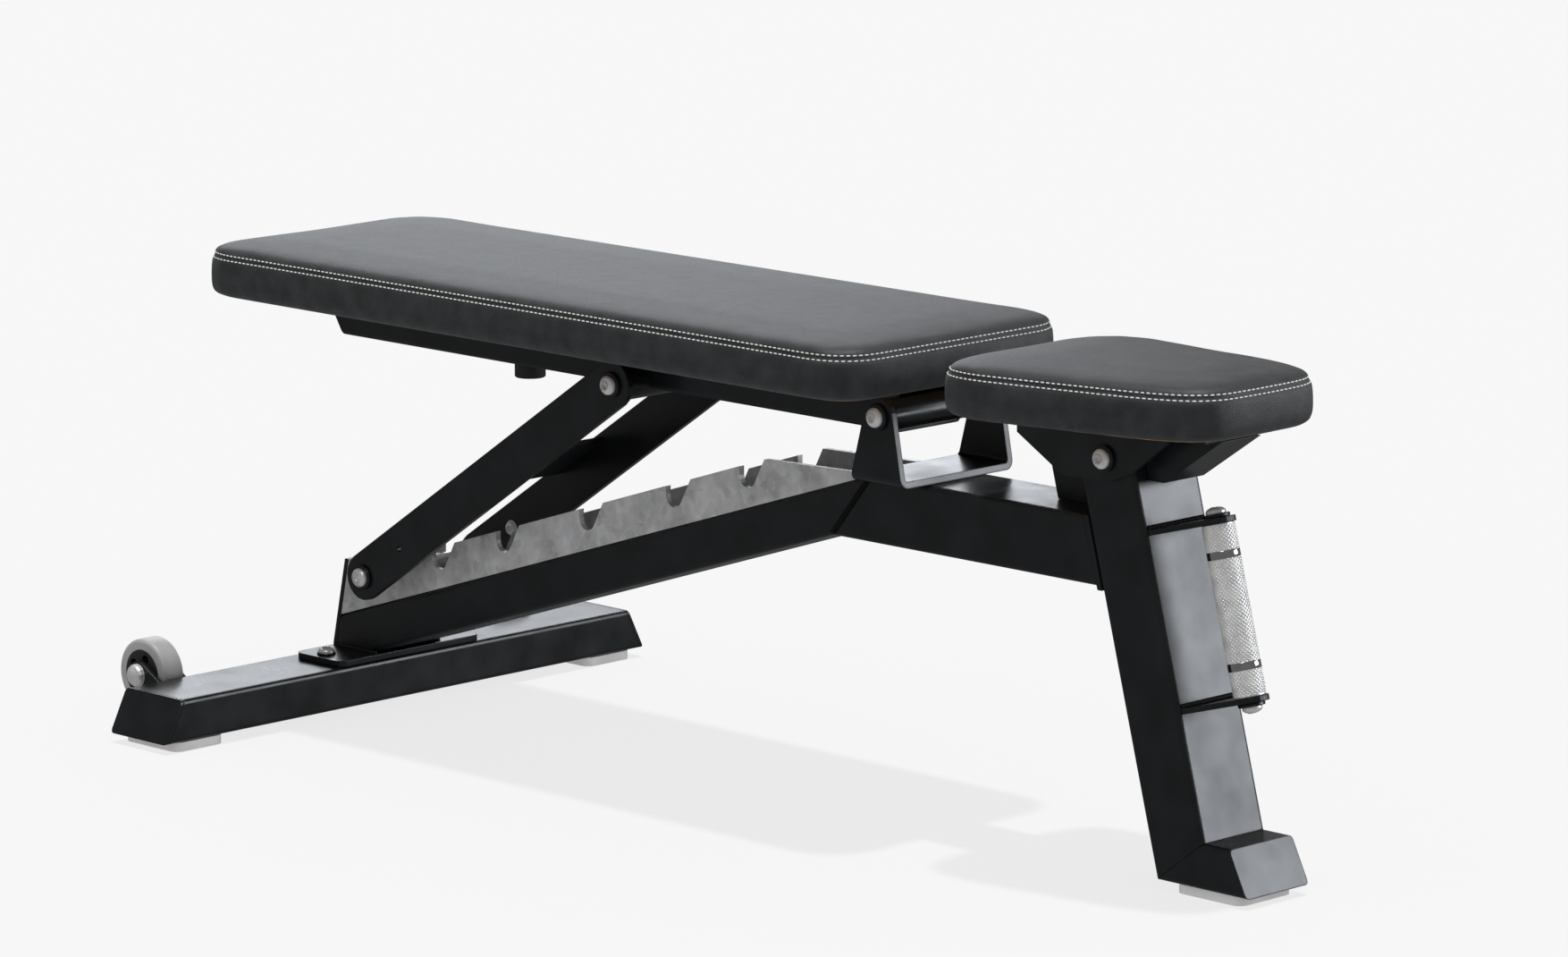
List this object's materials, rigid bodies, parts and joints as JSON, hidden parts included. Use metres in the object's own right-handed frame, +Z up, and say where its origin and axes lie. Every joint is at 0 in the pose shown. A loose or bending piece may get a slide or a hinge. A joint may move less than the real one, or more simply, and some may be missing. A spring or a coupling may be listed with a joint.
{
  "type": "adjustable weight bench",
  "caption": "Free-standing weight bench with a back rest that tilts up on a strut and notched ladder, a tilting seat, a carry handle and transport wheels.",
  "frame": {"origin": "on the floor, under the middle of the bench's length and width", "axes": "+X along the bench towards the seat and the handle, +Y across it to the left, +Z up"},
  "size_m": [1.234, 0.61, 0.4459],
  "materials": {
    "black_coat": "satin black powder coat",
    "zinc_plate": "zinc plated sheet, satin",
    "bright_steel": "bright plated steel",
    "leatherette": "black grained leatherette with white double stitching",
    "plywood": "plain plywood",
    "foot_rubber": "pale translucent rubber",
    "wheel_tread": "pale grey translucent polyurethane",
    "black_rubber": "matt black rubber",
    "black_plastic": "black moulded plastic"
  },
  "bodies": {
    "frame": {"rear_crossbar": "black_coat", "crossbar_cap_left": "black_coat", "crossbar_cap_right": "black_coat", "rear_foot_left": "foot_rubber", "rear_foot_right": "foot_rubber", "front_foot_pad": "foot_rubber", "flange_plate": "black_coat", "flange_bolt_left": "bright_steel", "flange_bolt_right": "bright_steel", "main_tube_rear": "black_coat", "main_tube_front": "black_coat", "rear_end_plate": "black_coat", "post_joint_plate": "black_coat", "ladder_plate_left": "zinc_plate", "ladder_plate_right": "zinc_plate", "back_hinge_bracket": "black_coat", "back_hinge_bolt_left": "bright_steel", "back_hinge_bolt_right": "bright_steel", "front_post": "black_coat", "seat_hinge_sleeve": "black_coat", "front_foot": "black_coat", "seat_gusset": "black_coat", "handle_bar": "bright_steel", "handle_bracket_lower": "black_coat", "handle_bracket_upper": "black_coat", "handle_bolt_lower": "bright_steel", "handle_bolt_upper": "bright_steel", "wheel_arm_left_outer": "black_coat", "wheel_arm_left_inner": "black_coat", "wheel_arm_right_outer": "black_coat", "wheel_arm_right_inner": "black_coat", "wheel_axle_left": "bright_steel", "wheel_axle_right": "bright_steel"},
    "wheel_left": {"wheel_tyre_left": "wheel_tread", "wheel_hub_left": "black_plastic"},
    "wheel_right": {"wheel_tyre_right": "wheel_tread", "wheel_hub_right": "black_plastic"},
    "back": {"back_pad": "leatherette", "back_board": "plywood", "back_beam": "black_coat", "back_hinge_tube": "black_coat", "strut_pivot_tube": "black_coat", "back_bumper": "black_rubber"},
    "strut": {"strut_plate_left": "black_coat", "strut_plate_right": "black_coat", "strut_pivot_bolt_left": "bright_steel", "strut_pivot_bolt_right": "bright_steel", "strut_rod_bolt_left": "bright_steel", "strut_rod_bolt_right": "bright_steel", "strut_rod": "bright_steel", "strut_cross_plate": "black_coat"},
    "seat": {"seat_pad": "leatherette", "seat_board": "plywood", "seat_base_plate": "black_coat", "seat_tube": "black_coat", "seat_bracket_left": "black_coat", "seat_bracket_right": "black_coat", "seat_hinge_bolt_left": "bright_steel", "seat_hinge_bolt_right": "bright_steel"},
    "clamp": {"seat_clamp_knob": "black_plastic"}
  },
  "joints": [
    {"name": "back_hinge", "type": "hinge", "parent": "frame", "child": "back", "pos_m": [0.2148, 0, 0.374], "axis": [0, 1, 0], "range_deg": [0, 75]},
    {"name": "strut_pivot", "type": "hinge", "parent": "back", "child": "strut", "pos_m": [-0.1151, 0, 0.3619], "axis": [0, 1, 0], "range_deg": [-113, 0]},
    {"name": "seat_hinge", "type": "hinge", "parent": "frame", "child": "seat", "pos_m": [0.4574, 0, 0.3665], "axis": [0, -1, 0], "range_deg": [0, 20]},
    {"name": "seat_clamp_turn", "type": "hinge", "parent": "frame", "child": "clamp", "pos_m": [0.45435, 0, 0.3265], "axis": [0, 1, 0], "range_deg": [0, 180]},
    {"name": "wheel_left_spin", "type": "hinge", "parent": "frame", "child": "wheel_left", "pos_m": [-0.584, 0.2245, 0.0485], "axis": [0, 1, 0], "continuous": true},
    {"name": "wheel_right_spin", "type": "hinge", "parent": "frame", "child": "wheel_right", "pos_m": [-0.584, -0.2245, 0.0485], "axis": [0, 1, 0], "continuous": true}
  ],
  "couplings": [
    {"joint": "strut_pivot", "follows": "back_hinge", "ratio": -1.5}
  ]
}
